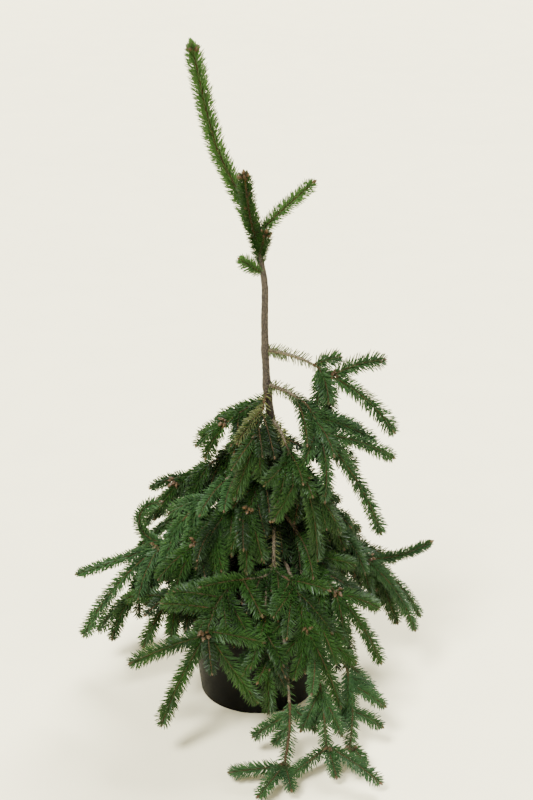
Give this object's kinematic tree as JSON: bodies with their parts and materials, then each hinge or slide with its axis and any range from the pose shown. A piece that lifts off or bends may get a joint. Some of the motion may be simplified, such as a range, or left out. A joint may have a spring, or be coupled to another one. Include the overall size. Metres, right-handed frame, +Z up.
{
  "type": "weeping norway spruce in a nursery pot",
  "caption": "Young weeping conifer with a slender bent trunk, drooping needle-clad branches round it and an upright leading shoot, growing in a round black nursery pot.",
  "frame": {"origin": "centre of the pot's flat underside", "axes": "+Z up along the pot's axis, -Y towards the side of the plant seen from the front, +X to its right"},
  "size_m": [0.5528, 0.6538, 1.043],
  "materials": {
    "pot": "black moulded plastic, faint sheen",
    "soil": "damp dark brown peat compost, crumbly",
    "bark": "rough grey-brown bark with leaf cushions",
    "bough": "pale tan to red-brown twig bark",
    "needles": "deep green needles, slightly waxy",
    "young_needles": "fresh yellow-green needles, brown bud scales"
  },
  "bodies": {
    "root": {"back_left_low_bough": "bough", "back_left_low_foliage": "needles", "back_left_mid_bough": "bough", "back_left_mid_foliage": "needles", "back_left_upper_foliage": "needles", "back_low_bough": "bough", "back_low_foliage": "needles", "back_middle_bough": "bough", "back_middle_foliage": "needles", "back_right_low_bough": "bough", "back_right_low_foliage": "needles", "back_right_mid_bough": "bough", "back_right_mid_foliage": "needles", "back_upper_foliage": "needles", "bud_shoot": "young_needles", "front_centre_bough": "bough", "front_centre_foliage": "needles", "front_drip_bough": "bough", "front_drip_foliage": "needles", "front_fork_bough": "bough", "front_left_bough": "bough", "front_left_foliage": "needles", "front_middle_foliage": "needles", "front_right_bough": "bough", "front_right_foliage": "needles", "front_right_low_bough": "bough", "front_right_low_foliage": "needles", "front_top_foliage": "needles", "front_tuft": "young_needles", "leader_shoot": "young_needles", "left_back_low_bough": "bough", "left_back_low_foliage": "needles", "left_front_bough": "bough", "left_front_foliage": "needles", "left_long_bough": "bough", "left_long_foliage": "needles", "left_low_bough": "bough", "left_low_foliage": "needles", "left_mid_foliage": "needles", "left_tuft": "young_needles", "left_upper_foliage": "needles", "pot": "pot", "right_back_low_bough": "bough", "right_back_low_foliage": "needles", "right_curtain_bough": "bough", "right_curtain_foliage": "needles", "right_drip_bough": "bough", "right_drip_foliage": "needles", "right_front_bough": "bough", "right_front_foliage": "needles", "right_hanging_bough": "bough", "right_hanging_foliage": "needles", "right_long_bough": "bough", "right_long_foliage": "needles", "right_middle_foliage": "needles", "right_shoot": "young_needles", "soil": "soil", "trunk": "bark", "upper_right_bough": "bough", "upper_right_foliage": "needles"}
  },
  "joints": []
}
